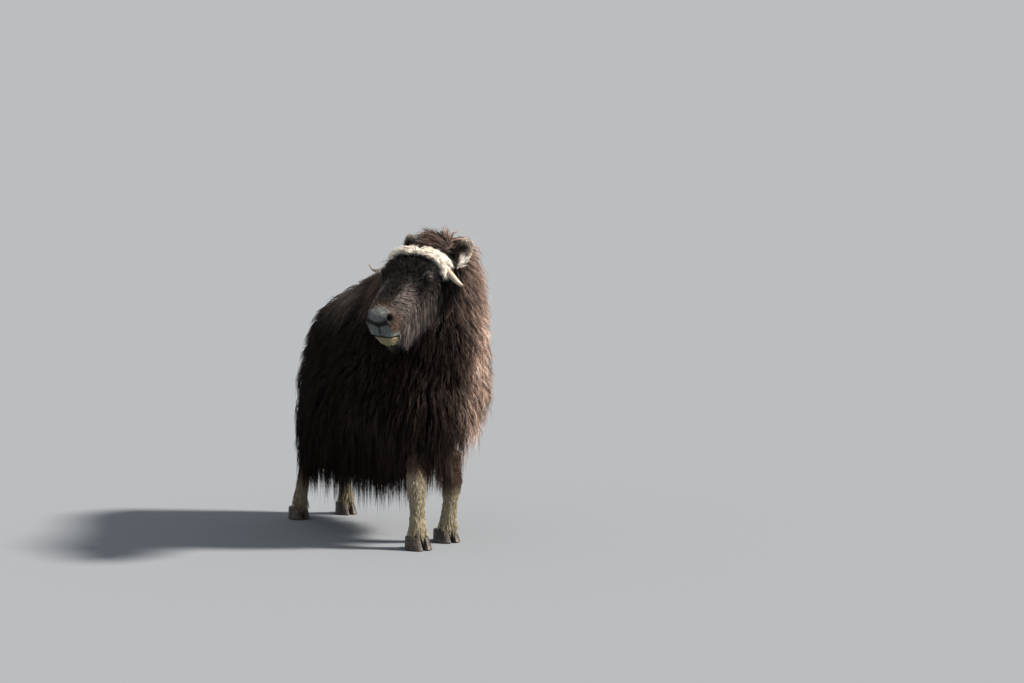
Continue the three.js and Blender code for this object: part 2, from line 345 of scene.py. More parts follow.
def sink_under_the_coat(core):
    """The trunk's skin lies under the long hair, and its belly is well above the hem."""
    points = places(core) - BODY
    low = fade(WAIST, HEM, points[:, 2])
    level = np.maximum(points[:, 2], HEM)
    points[:, 2] = np.where(level < WAIST, WAIST - (WAIST - level) * BELLY_SHARE, level)
    points[:, 0] *= 1 - BELLY_NARROWER * low
    move_to(core, points + BODY)
    soften(core, 12)
    out = facing(core)
    y, z = (places(core) - BODY)[:, 1:].T
    mane = fade(-0.15, -0.3, y) * fade(0.85, 1.0, z)
    shrink(core, FLANK_COAT - LESS_ON_BACK * fade(0.2, 0.9, out[:, 2]) - LESS_ON_MANE * mane)
    soften(core, 10)


BULK_VOXEL, LIMB_VOXEL, SKIN_VOXEL, EAR_VOXEL, WRAP_VOXEL = 14 * MM, 5 * MM, 7 * MM, 2.6 * MM, 8 * MM
HEAD_COAT, LESS_ON_MUZZLE, LESS_BY_EYE = 0.013, 0.007, 0.65
SHIN_COAT, MORE_ON_UPPER_LEG = 0.0035, 0.0095
TAIL_COAT, EAR_COAT = 0.012, 0.0025


def make_skin():
    """One skin for the whole body, inside the frame's nodes by the depth of the coat."""
    nodes = [node for node in FLESH if "ear" not in node]
    core = fused("skin", nodes, BULK_VOXEL, 4, socket_fillers())
    sink_under_the_coat(core)
    head = fused("head_core", ("head", "lower_jaw"), LIMB_VOXEL, 3, socket_fillers())
    local = in_head(places(head))
    bare = fade(0.12, 0.30, local[:, 1])
    by_eye = fade(0.055, 0.030, from_eye(local))
    shrink(head, (HEAD_COAT - LESS_ON_MUZZLE * bare) * (1 - LESS_BY_EYE * by_eye))
    legs = fused("leg_core", FLESH[FIRST_LEG:], LIMB_VOXEL, 2)
    upper = fade(0.15, 0.32, places(legs)[:, 2])
    shrink(legs, SHIN_COAT + MORE_ON_UPPER_LEG * upper)
    tail = fused("tail_core", ("tail",), LIMB_VOXEL, 2)
    shrink(tail, TAIL_COAT)
    pick(core, head, legs, tail)
    bpy.ops.object.join()
    remesh(core, SKIN_VOXEL, 2)
    cut_finer(core, 0.045, 0.20)
    cut_finer(core, 0.032, 0.285)
    shape_face(core)
    ears = fused("ear_skin", ("ear_left", "ear_right"), EAR_VOXEL, 2)
    shrink(ears, EAR_COAT)
    pick(core, ears)
    bpy.ops.object.join()
    core.name = "skin"
    pick(core)
    bpy.ops.object.shade_smooth()
    return core


EYE = (0.083, 0.107, -0.042)
EYE_RADIUS = 0.016
GAZE = np.array([0.88, 0.33, 0.30]) / np.linalg.norm([0.88, 0.33, 0.30])
NOSTRIL = (0.036, 0.338, -0.052)
NOSE_FLAT = 0.350
NOSE_GROOVE = (0.0, -0.068)
MOUTH_FRONT = np.array([0, 0.368, -0.112])
MOUTH_SLOPE = math.radians(27)


def from_eye(local):
    """How far a place is from the nearer eye's middle."""
    gap = np.stack([np.abs(local[:, 0]), local[:, 1], local[:, 2]], 1) - EYE
    return np.linalg.norm(gap, axis=1)


def cut_finer(piece, around_eye, from_ahead):
    """Halves the skin's squares around the eyes, and on the face from a place ahead to the nose."""
    mesh = piece.data
    local = in_head(read(mesh.polygons, "center", 3).astype(float))
    chosen = (from_eye(local) < around_eye) | ((local[:, 1] > from_ahead) & (local[:, 2] > -0.3))
    pick(piece)
    bpy.ops.object.mode_set(mode="EDIT")
    bpy.ops.mesh.select_all(action="DESELECT")
    bpy.ops.mesh.select_mode(type="FACE")
    bpy.ops.object.mode_set(mode="OBJECT")
    mesh.polygons.foreach_set("select", chosen)
    bpy.ops.object.mode_set(mode="EDIT")
    bpy.ops.mesh.subdivide(number_cuts=1, smoothness=0.6)
    bpy.ops.object.mode_set(mode="OBJECT")


def from_line(points, start, end):
    """How far places are from a straight line between two points."""
    start, end = np.array(start), np.array(end)
    run = end - start
    share = np.clip(((points - start) @ run) / (run @ run), 0, 1)
    return np.linalg.norm(points - start - share[:, None] * run, axis=1)


def bell(value, middle, width):
    """A smooth bump, 1 at its middle."""
    return np.exp(-(((value - middle) / width) ** 2))


# Lids, nostrils, groove and lips. The almond is the eye's opening, in shares of its reach.
LID_THICKNESS, LID_EDGE = 0.0026, 0.0016
ALMOND = (0.80, 0.60)
EYE_REACH = 0.045
NOSTRIL_OVAL, NOSTRIL_DEPTH, NOSTRIL_RIM = (0.0175, 0.0120), 0.017, 0.0035
GROOVE_WIDTH, GROOVE_DEPTH = 0.003, 0.0032
MOUTH_GAP, MOUTH_DEPTH, LIP_SWELL = 0.0026, 0.0050, 0.0018
BLUNT = 0.6
ABOVE_MOUTH = np.array([0, -math.sin(MOUTH_SLOPE), math.cos(MOUTH_SLOPE)])


def set_lids(local):
    """Lids lie close on the eyeball and leave an almond open."""
    mirror = np.stack([np.sign(local[:, 0]), np.ones(len(local)), np.ones(len(local))], 1)
    socket = local * mirror - EYE
    reach = np.linalg.norm(socket, axis=1)
    spoke = socket / np.maximum(reach, 1e-6)[:, None]
    along = np.cross([0, 0.25, 1.0], GAZE)
    along /= np.linalg.norm(along)
    across = np.cross(GAZE, along)
    ring = np.hypot(spoke @ along / ALMOND[0], spoke @ across / ALMOND[1])
    ring = np.where(spoke @ GAZE > 0, ring, 9)
    lid = EYE_RADIUS + LID_THICKNESS - LID_EDGE * bell(ring, 1.75, 0.2)
    shaped = lid + (reach - lid) * fade(1.45, 2.3, ring)
    shaped = np.where(ring < 1, EYE_RADIUS - 0.004, shaped)
    close = (reach < EYE_REACH) & (ring < 2.3)
    change = np.where(close, shaped - reach, 0)
    moved = socket + spoke * change[:, None]
    return np.where(close[:, None], (moved + EYE) * mirror, local)


def shape_face(piece):
    """Lids, nostrils, the groove under the nose, and lips."""
    local = in_head(places(piece))
    push = np.zeros(len(local))
    out = facing(piece)
    side, ahead, up = np.abs(local[:, 0]), local[:, 1], local[:, 2]
    local = set_lids(local)

    # Nostrils: deep commas with a raised rim
    gap = np.stack([side - NOSTRIL[0], ahead - NOSTRIL[1], up - NOSTRIL[2]], 1)
    lean = np.array([0.55, -0.15, 0.82])
    lean /= np.linalg.norm(lean)
    run = gap @ lean
    off = np.linalg.norm(gap - run[:, None] * lean, axis=1)
    oval = np.hypot(run / NOSTRIL_OVAL[0], off / NOSTRIL_OVAL[1])
    push -= NOSTRIL_DEPTH * fade(1.1, 0.45, oval)
    push += NOSTRIL_RIM * bell(oval, 1.5, 0.35)

    # The groove from between the nostrils to the lip
    front = fade(0.33, 0.35, ahead)
    push -= GROOVE_DEPTH * front * bell(side, 0, GROOVE_WIDTH) * fade(-0.045, -0.055, up)

    # Lips meet along the mouth's plane
    above = (local - MOUTH_FRONT) @ ABOVE_MOUTH
    near_mouth = fade(0.285, 0.305, ahead)
    push -= MOUTH_DEPTH * near_mouth * bell(above, 0, MOUTH_GAP)
    push += LIP_SWELL * near_mouth * bell(np.abs(above), 0.008, 0.004)

    # The nose is blunt
    on_nose = (np.abs(local[:, 0]) < 0.08) & (np.abs(local[:, 2] + 0.08) < 0.12) & (ahead < 0.40)
    local[:, 1] -= BLUNT * np.maximum(local[:, 1] - NOSE_FLAT, 0) * on_nose
    move_to(piece, out_of_head(local) + out * push[:, None])


def skin_tables(piece, zones):
    """The skin's triangles: corners, normals, unwrap and which part of the body each belongs to."""
    mesh = piece.data
    mesh.calc_loop_triangles()
    corner = read(mesh.loop_triangles, "vertices", 3, np.int32)
    loop = read(mesh.loop_triangles, "loops", 3, np.int32)
    spots = places(piece)[corner]
    cross = np.cross(spots[:, 1] - spots[:, 0], spots[:, 2] - spots[:, 0])
    centres = spots.mean(1)
    return {
        "spots": spots,
        "normals": facing(piece)[corner],
        "maps": read(mesh.uv_layers["OFBake"].data, "uv", 2)[loop],
        "area": np.linalg.norm(cross, axis=1) / 2,
        "centres": centres,
        "zone": zone_of(centres, zones),
    }


def search_tree(*meshes):
    """All meshes' faces in one search tree, with the number of each face's mesh."""
    corners, faces, owner = [], [], []
    for index, mesh in enumerate(meshes):
        start = len(corners)
        corners.extend(v.co.copy() for v in mesh.vertices)
        faces.extend([start + v for v in face.vertices] for face in mesh.polygons)
        owner.extend([index] * len(mesh.polygons))
    return BVHTree.FromPolygons(corners, faces), np.array(owner)


def node_mesh(node):
    return frame["nodes"][node].data


def zone_of(points, zones):
    tree, owner = zones
    return owner[[tree.find_nearest(p)[2] for p in points.tolist()]]


def nearest_on(tree, points):
    found = [tree.find_nearest(p) for p in points.tolist()]
    spots = np.array([f[0] for f in found])
    outs = np.array([f[1] for f in found])
    return spots, outs


# Markings, with painted light and shade laid in at some places, shared by skin and coat

GUARD_HAIR = linear("1c1613")
MANE_HAIR_AND_LIT_SIDE = linear("5a4d46")
SADDLE_HAIR_AND_SHEEN = linear("6b625b")
BLACK_FACE_AND_SHADE = linear("0b0908")
CHEEK_HAIR = linear("68605d")
BROW_WOOL = linear("ebe4d9")
NOSE_SIDE = linear("54433a")
NOSE_HAIR_IN_SHADE = linear("777d7c")
CHIN_HAIR = linear("9a9374")
BARE_SKIN_AND_SHADE = linear("1a1513")
PALE_LEG = linear("9a917c")
BROWN_LEG = linear("4b3b31")
EAR_RIM_HIGHLIGHT = linear("b3a99d")

# The wool's turn to each side of the brow, in degrees, and the level on the face where it ends
WOOL_TURN = 68
WOOL_END = (-0.076, -0.064)


def band_distance(local):
    """How far a place is from the middle of the wool that runs over the brow from horn to horn."""
    angle = np.radians(np.linspace(-WOOL_TURN, WOOL_TURN, 21))
    line = np.stack(
        [
            0.117 * np.sin(angle),
            HEAD_LENGTH * (0.05 - 0.055 * np.cos(angle)),
            -0.101 + 0.088 * np.cos(angle),
        ],
        1,
    )
    apart = np.linalg.norm(local[:, None] - line[None], axis=2).min(1)
    crown = fade(0.085, 0.04, np.abs(local[:, 0]))
    return apart * (1.1 + 0.3 * crown) + 0.004 * np.sin(local[:, 0] / 0.0085)


def brow_wool(local, edge, full):
    """The share of the brow's wool at a place: it fades from full to edge, and ends above the cheeks."""
    return fade(edge, full, band_distance(local)) * fade(*WOOL_END, local[:, 2])


EAR_ROOT, EAR_TIP = np.array([0.086, -0.063, -0.120]), np.array([0.124, -0.147, -0.054])
RIGHT_EAR_TUCK = np.array([-0.015, 0, -0.005])
EAR_HALF_WIDTH = 0.033


def in_ear(local, way):
    """A place in an ear: share of its length, and of its half width away from the head."""
    facing_ahead = unit(np.array([0.3 * way, -0.85, 0.2]) @ HEAD_TURNED)
    mirror = np.array([way, 1, 1])
    run = (EAR_TIP - EAR_ROOT) * mirror
    gap = local - (EAR_ROOT + (RIGHT_EAR_TUCK if way < 0 else 0)) * mirror
    along = gap @ run / (run @ run)
    breadth = unit(np.cross(run, facing_ahead))
    breadth = breadth * np.sign(breadth[0]) * way
    off = gap - along[:, None] * run
    return along, off @ breadth / EAR_HALF_WIDTH


def low_flank(x, z):
    """Low on the left flank the painted light of the lit side gives way, and the hair is dark again."""
    return fade(0.15, 0.25, x) * fade(0.90, 0.72, z)


def markings(points, zone):
    """The coat's colour at each place, linear, with painted light and shade laid in at some places."""
    local = in_head(points)
    x, y, z = (points - BODY).T
    side, ahead, up = np.abs(local[:, 0]), local[:, 1], local[:, 2]
    colour = np.tile(GUARD_HAIR, (len(points), 1))

    def lay(tint, share):
        share = np.clip(share, 0, 1)[:, None]
        colour[:] = colour * (1 - share) + np.array(tint) * share

    trunk = (zone == TRUNK) | (zone == TAIL)
    # the saddle on the back is the coat's own; its grey tone is partly a painted sheen of light on top of
    # the back
    lay(SADDLE_HAIR_AND_SHEEN, 0.8 * trunk * fade(0.78, 0.90, z) * fade(-0.26, -0.10, y) * fade(0.5, 0.3, y))
    mane = fade(0.80, 1.02, z) * fade(-0.12, -0.24, y) * ((zone == TRUNK) | (zone == NECK))
    lay(MANE_HAIR_AND_LIT_SIDE, 0.75 * mane)
    # painted light: the mane's paler hair is laid over the left forequarters, the side towards the key
    # light, and not over the right
    lit_shoulder = fade(-0.06, -0.32, y) * fade(0.0, 0.10, x) * fade(0.25, 0.5, z)
    lit_shoulder *= 1 - 0.5 * low_flank(x, z)
    lay(MANE_HAIR_AND_LIT_SIDE, 0.85 * (zone <= NECK) * lit_shoulder)

    head = (zone == FACE) | (zone == JAW)
    # the face's hair is dark brown-black, made darker still as painted shade over the face
    lay(BLACK_FACE_AND_SHADE, head * fade(-0.12, -0.02, ahead))
    cheek = fade(0.035, 0.06, side) * fade(-0.06, -0.10, up) * fade(0.04, 0.14, ahead)
    lay(CHEEK_HAIR, 0.6 * head * cheek)
    lay(CHEEK_HAIR, 0.8 * head * fade(0.018, 0.045, side) * fade(0.16, 0.22, ahead))
    above_lip = (local - MOUTH_FRONT) @ ABOVE_MOUTH
    lay(NOSE_SIDE, head * fade(0.275, 0.335, ahead))
    # the nose's and upper lip's pale hair is darkened and tinted blue-grey as painted shade
    lay(NOSE_HAIR_IN_SHADE, head * fade(0.312, 0.338, ahead) * fade(0.046, 0.034, side))
    lay(NOSE_HAIR_IN_SHADE, 0.9 * head * fade(0.288, 0.318, ahead) * fade(0.024, 0.014, above_lip))
    lay(CHIN_HAIR, (zone == JAW) * fade(0.290, 0.318, ahead))
    lay(BARE_SKIN_AND_SHADE, head * fade(0.265, 0.290, ahead) * fade(0.0042, 0.0022, np.abs(above_lip)))
    lay(BROW_WOOL, (head | (zone == NECK)) * brow_wool(local, 0.047, 0.034))
    # dark bare skin at the nostrils and in a V between them down to the groove; partly painted shade, laid
    # wider and darker than the bare skin on the lower nose
    folded = np.stack([side, ahead, up], 1)
    gap = np.linalg.norm((folded - NOSTRIL) * [1, 1, 0.75], axis=1)
    lay(BARE_SKIN_AND_SHADE, head * fade(0.0225, 0.0145, gap))
    bridge, tip = folded[:, ::2], head * fade(0.305, 0.320, ahead)
    lay(BARE_SKIN_AND_SHADE, 0.92 * tip * fade(0.0135, 0.0050, from_line(bridge, NOSTRIL[::2], NOSE_GROOVE)))
    lay(BARE_SKIN_AND_SHADE, 0.85 * tip * fade(0.0060, 0.0012, from_line(bridge, NOSE_GROOVE, (0.0, -0.106))))
    lay(BARE_SKIN_AND_SHADE, head * fade(0.029, 0.022, from_eye(local)))

    for ear, way in ((EAR_LEFT, 1), (EAR_RIGHT, -1)):
        along, across = in_ear(local, way)
        # painted highlight: the ears' outer rims and tips are laid paler, as light catching them
        lit_rim = fade(0.3, 0.6, across) * fade(0.2, 0.45, along)
        lay(EAR_RIM_HIGHLIGHT, 0.9 * (zone == ear) * np.maximum(lit_rim, 0.85 * fade(0.6, 0.85, along)))
        lay(BROW_WOOL, (zone == ear) * fade(0.48, 0.32, along) * fade(-0.15, 0.2, across))

    hind = zone >= FIRST_LEG + 2
    lay(BROWN_LEG, zone >= FIRST_LEG)
    # the left front leg is pale only lower down than the right: the brown above is partly painted shadow
    # of the coat over it
    lay(PALE_LEG, (zone == FIRST_LEG) * fade(0.225, 0.165, z))
    lay(PALE_LEG, (zone == FIRST_LEG + 1) * fade(0.30, 0.235, z))
    lay(PALE_LEG, 0.8 * hind * fade(0.19, 0.11, z))
    return colour


# Coat

STEPS = 14
FETLOCK = 0.075


def scatter(table, count, weight):
    """Random places on the skin, as dense as the weight of their triangle says."""
    share = np.cumsum(table["area"] * weight)
    pick_at = np.searchsorted(share, CHANCE.random(count) * share[-1])
    a, b = CHANCE.random((2, count))
    flip = a + b > 1
    a, b = np.where(flip, 1 - a, a), np.where(flip, 1 - b, b)
    mix = np.stack([1 - a - b, a, b], 1)[:, :, None]
    return {
        "spot": (table["spots"][pick_at] * mix).sum(1),
        "out": unit((table["normals"][pick_at] * mix).sum(1)),
        "map": (table["maps"][pick_at] * mix).sum(1),
        "zone": table["zone"][pick_at],
    }


def lie_of(points, out, zone):
    """Which way the coat lies: down the sides, back along the spine, up the face, down cheeks and legs."""
    local = in_head(points)
    flow = np.tile([0.0, 0.28, -1.0], (len(points), 1))
    flow[zone == NECK] = [0.05, 0.30, -1.0]
    head = (zone == FACE) | (zone == JAW)
    sideways = np.sign(local[:, 0]) * fade(0.0, 0.04, np.abs(local[:, 0]))
    on_side = fade(0.025, 0.06, np.abs(local[:, 0]))
    on_face = np.stack([0.5 * sideways, -np.ones(len(points)), -0.25 - 0.5 * on_side], 1)
    wool = fade(0.052, 0.036, band_distance(local))
    by_horn = fade(0.03, 0.08, np.abs(local[:, 0]))
    over_brow = np.stack([1.3 * sideways, 0.35 - 0.30 * by_horn, -0.3 - 0.6 * by_horn], 1)
    on_face = on_face * (1 - wool[:, None]) + over_brow * wool[:, None]
    hang = fade(-0.055, -0.105, local[:, 2]) * fade(0.34, 0.27, local[:, 1])
    hang = np.clip(hang - wool, 0, 1)
    on_face = unit(on_face @ HEAD_TURNED.T) * (1 - hang[:, None])
    flow[head] = (on_face + np.outer(hang, [0.10, 0.12, -1.0]))[head]
    for ear, way in ((EAR_LEFT, 1), (EAR_RIGHT, -1)):
        flow[zone == ear] = HEAD_TURNED @ ((EAR_TIP - EAR_ROOT) * [way, 1, 1])
    flow[zone >= FIRST_LEG] = [0, 0.05, -1]
    flow = unit(flow)
    level = flow - (flow * out).sum(1, keepdims=True) * out
    # where the coat would have to lie against its own skin, as on the level back, it lies backwards
    flat = np.linalg.norm(level, axis=1) < 0.35
    level[flat & ~head] += np.array([0, 0.5, 0.0])
    return unit(level)


# Locks hang free where the coat's outside faces this far down, and below this height
UNDERSIDE, JOWL_UNDERSIDE = -0.35, -0.30
HANGS_BELOW = 0.42
STIFFNESS = 0.35


def walk(roots, length, depth_kept, rise, envelope, loose=0):
    """The middle line of each lock: it leaves the skin, lies along the coat's outside, then hangs."""
    here = roots["spot"].copy()
    spot = nearest_on(envelope, here)[0]
    depth = np.linalg.norm(here - spot, axis=1)
    line = np.empty((len(here), STEPS + 1, 3))
    line[:, 0] = here
    hanging = np.zeros(len(here), bool)
    long_hair = roots["zone"] <= NECK
    jowl = (roots["zone"] == FACE) | (roots["zone"] == JAW)
    jowl &= in_head(here)[:, 1] < 0.30
    fetlock = roots["zone"] >= FIRST_LEG
    step = length / STEPS
    flow = lie_of(here, roots["out"], roots["zone"])
    for i in range(1, STEPS + 1):
        ahead = here + flow * step[:, None]
        spot, out = nearest_on(envelope, ahead)
        climbed = fade(0, rise, i / STEPS)
        on_coat = spot - out * (depth * (1 + (depth_kept - 1) * climbed))[:, None]
        pull = np.clip(on_coat - ahead, -step[:, None] * 0.8, step[:, None] * 0.8)
        hanging |= long_hair & (out[:, 2] < UNDERSIDE) & (spot[:, 2] < HANGS_BELOW)
        hanging |= jowl & (out[:, 2] < JOWL_UNDERSIDE)
        hanging |= fetlock & (spot[:, 2] < FETLOCK)
        target = np.where(hanging[:, None], ahead, ahead + pull * (1 - loose * climbed))
        here = here + unit(target - here) * step[:, None]
        line[:, i] = here
        new_flow = lie_of(here, out, roots["zone"])
        new_flow[hanging] = [0, 0, -1]
        new_flow[hanging & fetlock] += 0.45 * out[hanging & fetlock]
        flow = unit(flow * STIFFNESS + new_flow * (1 - STIFFNESS))
    return line


BELOW_FLOOR = -0.1
USUAL_HEM, HIGHEST_HEM = 0.16, 0.30


def hem_under(points):
    """The level of the coat's lower edge below each place."""
    levels = []
    for x, y, z in points.tolist():
        hit = trunk_outside.ray_cast(Vector((x, y, BELOW_FLOOR)), Vector((0, 0, 1)))[0]
        if hit is None:
            hit = trunk_outside.find_nearest(Vector((x, y, USUAL_HEM)))[0]
        levels.append(min(hit.z, HIGHEST_HEM))
    return np.array(levels)


def line_at(line, at):
    """Places along each line at fractional point numbers."""
    low = np.floor(at).astype(int)
    high = np.minimum(low + 1, line.shape[1] - 1)
    mix = (at - low)[:, :, None]
    rows = np.arange(len(line))[:, None]
    return line[rows, low] * (1 - mix) + line[rows, high] * mix


def cut_at_hem(line, hem):
    """Ends each line where it drops below its hem, then spaces its points evenly again."""
    below = line[:, :, 2] < hem[:, None]
    last = np.where(below.any(1), np.maximum(below.argmax(1), 2), line.shape[1] - 1)
    return line_at(line, np.linspace(0, 1, line.shape[1])[None] * last[:, None])


# How far the locks' ends lie from the coat's lower edge, and how much lower than that some of them hang
RAGGED_HEM = (-0.072, 0.008)
STRAGGLERS, STRAGGLER_DROP = 0.12, 0.03
MIDDLE_DROP = 0.055
AWAY_FROM_FACE = [-0.87, 0.5, 0]
WARM = np.array([1.06, 1.0, 0.95])
ROOT_DEPTH = 1 * MM


def lock_lines(locks, envelope, plan):
    """Each lock's middle line, cut at the hem, and its full length."""
    count = len(locks["spot"])
    length = plan["length"](locks) * CHANCE.uniform(0.75, 1.2, count)
    kept = CHANCE.uniform(*plan["inset"], count)
    if "crown" in plan:
        on_top = fade(0.45, 0.8, locks["out"][:, 2])
        kept += on_top * (CHANCE.uniform(*plan["crown"], count) - kept)
    # the coat lies flat on the far side of the neck, where the head turns into it
    tucked = fade(0.2, 0.5, locks["out"] @ AWAY_FROM_FACE) * fade(0.72, 0.86, locks["spot"][:, 2])
    kept += plan.get("tuck", 0) * tucked * (0.9 - kept)
    line = walk(locks, length, kept, plan["rise"], envelope, plan.get("loose", 0))
    ragged = CHANCE.uniform(*RAGGED_HEM, count) - STRAGGLER_DROP * (CHANCE.random(count) < STRAGGLERS)
    middle = fade(-0.26, -0.10, (line[:, -1] - BODY)[:, 1])
    hem = hem_under(line[:, -1]) + ragged - MIDDLE_DROP * middle
    line = cut_at_hem(line, np.where(locks["zone"] <= NECK, hem, -1.0))
    steps = np.linspace(0, 1, plan["rings"] + 1) * STEPS
    return line_at(line, steps[None]), length


def tuft_colours(tufts, owner, count, share, plan):
    """A tuft's tone is its lock's and its own. It is dark at the root, and its tip may be bleached with
    painted sheen; on the painted lit side some tufts carry painted glints.
    """
    number = len(owner)
    mottle = plan["mottle"]
    tone = CHANCE.normal(0, mottle, count)[owner] + CHANCE.normal(0, 0.7 * mottle, number)
    # painted light: on the left forequarters, towards the key light, tips are paler and some tufts carry
    # painted glints; the chest and the low flank stay dark, as the shaded side
    x, y, z = (tufts["spot"] - BODY).T
    lit_side = fade(-0.07, 0.09, x) * (1 - 0.8 * low_flank(x, z)) if "tuck" in plan else np.ones(number)
    glint = CHANCE.random(number) < plan.get("glint_share", 0) * lit_side
    tone = np.clip(np.exp(tone), 0.3, 2.8) * (1 + 1.3 * glint)
    from_root = plan["root_tone"] + (1.24 - plan["root_tone"]) * share**1.2
    base = markings(tufts["spot"], tufts["zone"])
    colour = base[:, None] * from_root[None, :, None] * tone[:, None, None]
    bleach_and_sheen = plan["bleach_and_sheen"] * (0.25 + 0.75 * lit_side[:, None]) * share[None] ** 2
    colour *= 1 + bleach_and_sheen[:, :, None] * WARM
    return np.clip(colour, 0, 1)


def grow(table, envelope, weight, plan):
    """Locks and the tufts in them, for one part of the coat."""
    locks = scatter(table, plan["locks"], weight)
    tufts = scatter(table, plan["tufts"], weight)
    line, length = lock_lines(locks, envelope, plan)
    count, points = line.shape[:2]
    share = np.linspace(0, 1, points)

    # each tuft joins the nearest lock
    tree = KDTree(count)
    for i, spot in enumerate(locks["spot"].tolist()):
        tree.insert(spot, i)
    tree.balance()
    owner = np.array([tree.find(p)[1] for p in tufts["spot"].tolist()])
    number = len(owner)
    gap = tufts["spot"] - locks["spot"][owner]
    apart = np.linalg.norm(gap, axis=1)
    gap *= np.minimum(1, plan["spread"] / np.maximum(apart, 1e-6))[:, None]
    gather = 1 - plan["clump"] * share**1.3
    short = CHANCE.uniform(0.72, 1.0, number)
    own = line[owner]
    own = own[:, :1] + (own - own[:, :1]) * short[:, None, None]
    path = own + gap[:, None] * gather[None, :, None]
    path += (tufts["spot"] - path[:, 0])[:, None] * (1 - share)[None, :, None] ** 2

    # waves run through a whole lock, frizz is each tuft's own
    drift = unit(np.gradient(path, axis=1))
    outward = tufts["out"][:, None]
    aside = unit(np.cross(drift, outward))
    travel = np.linalg.norm(np.diff(path, axis=1), axis=2)
    travel = np.concatenate([np.zeros((number, 1)), np.cumsum(travel, 1)], 1)
    phase = CHANCE.uniform(0, 2 * math.pi, count)[owner] + CHANCE.normal(0, 0.5, number)
    height = plan["wave"] * CHANCE.uniform(0.6, 1.3, number) * (length / length.max())[owner]
    turn = 2 * math.pi * travel / plan["wavelength"] + phase[:, None]
    swing = height[:, None] * np.minimum(1, share * 2.2)[None]
    path += aside * (swing * np.sin(turn))[:, :, None]
    path += outward * (0.55 * swing * np.cos(turn))[:, :, None]
    path += CHANCE.normal(0, 1, path.shape) * (plan["frizz"] * share)[None, :, None]
    path[:, 0] = tufts["spot"] - tufts["out"] * ROOT_DEPTH
    return {
        "path": path,
        "out": tufts["out"],
        "map": tufts["map"],
        "colour": tuft_colours(tufts, owner, count, share, plan),
        "width": plan["width"] * CHANCE.uniform(0.7, 1.25, number),
    }


# A share of the unwrap's side
PATCH_SIZE = 0.0015


def tuft_mesh(name, tufts, material):
    """Joins tufts into one mesh: each is a slim three-sided blade that tapers to its tip."""
    path, out = tufts["path"], tufts["out"]
    number, points = path.shape[:2]
    rings = points - 1
    along = unit(np.gradient(path, axis=1))
    aside = unit(np.cross(along, out[:, None] + 0.001))
    above = unit(np.cross(aside, along))
    share = np.linspace(0, 1, points)
    taper = (0.65 + 0.35 * np.sin(math.pi * np.minimum(1, share * 1.6))) * (1 - share**2.2)
    half = tufts["width"][:, None, None] / 2 * taper[None, :, None]
    ring = np.stack([path - aside * half, path + aside * half, path + above * half * 0.9], 2)[:, :rings]
    verts = np.concatenate([ring.reshape(number, rings * 3, 3), path[:, rings:]], 1)
    faces = [(2, 1, 0)]
    for r in range(rings - 1):
        for k in range(3):
            a, b = r * 3 + k, r * 3 + (k + 1) % 3
            faces += [(a, b, b + 3), (a, b + 3, a + 3)]
    last = (rings - 1) * 3
    faces += [(last + k, last + (k + 1) % 3, rings * 3) for k in range(3)]
    faces = np.array(faces)
    per = rings * 3 + 1
    index = (faces[None] + (np.arange(number) * per)[:, None, None]).reshape(-1)
    mesh = bpy.data.meshes.new(name)
    mesh.vertices.add(number * per)
    mesh.vertices.foreach_set("co", verts.astype(np.float32).ravel())
    total = number * len(faces)
    mesh.loops.add(total * 3)
    mesh.loops.foreach_set("vertex_index", index.astype(np.int32))
    mesh.polygons.add(total)
    mesh.polygons.foreach_set("loop_start", np.arange(total, dtype=np.int32) * 3)
    mesh.update(calc_edges=True)
    mesh.polygons.foreach_set("use_smooth", np.ones(total, bool))
    piece = bpy.data.objects.new(name, mesh)
    shade = np.repeat(tufts["colour"][:, :rings], 3, axis=1)
    give_colours(piece, "coat_colour", np.concatenate([shade, tufts["colour"][:, rings:]], 1))
    # each tuft's patch of the unwrap, at its root's place
    across = np.tile([-1.0, 1.0, 0.0], rings)
    down = np.repeat(share[:rings], 3) * 2 - 1
    patch = np.stack([np.append(across, 0), np.append(down, 1)], 1) * PATCH_SIZE
    spots = tufts["map"][:, None] + patch[None]
    unwrap = mesh.uv_layers.new(name="OFBake")
    unwrap.data.foreach_set("uv", spots.reshape(-1, 2)[index].astype(np.float32).ravel())
    mesh.materials.append(material)
    bpy.context.collection.objects.link(piece)
    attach(piece, "root")
    return piece


def same(length):
    """The same length for all locks."""
    return lambda locks: np.full(len(locks["spot"]), length)


def flank_length(locks):
    return 0.115 + 0.205 * fade(0.70, 0.40, locks["spot"][:, 2])


def fore_length(locks):
    return 0.095 + 0.175 * fade(0.65, 0.36, locks["spot"][:, 2])


def face_length(locks):
    """Short around the eyes, longer on the forehead and nape, longest on the cheeks."""
    side, ahead, up = in_head(locks["spot"]).T
    cheek = fade(-0.06, -0.12, up) * fade(0.31, 0.23, ahead)
    nape = fade(0.02, -0.04, ahead)
    forehead = fade(0.16, 0.08, ahead) * fade(-0.05, -0.02, up)
    muzzle = fade(0.17, 0.23, ahead)
    longer = np.maximum.reduce([0.060 * cheek, 0.040 * nape, 0.016 * forehead, 0.016 * muzzle])
    return (0.017 + longer) * fade(0.010, 0.032, from_eye(np.stack([side, ahead, up], 1)))


def leg_length(locks):
    return 0.024 + 0.016 * fade(0.13, 0.08, locks["spot"][:, 2])


def nose_length(locks):
    return 0.005 + 0.012 * fade(0.345, 0.30, in_head(locks["spot"])[:, 1])
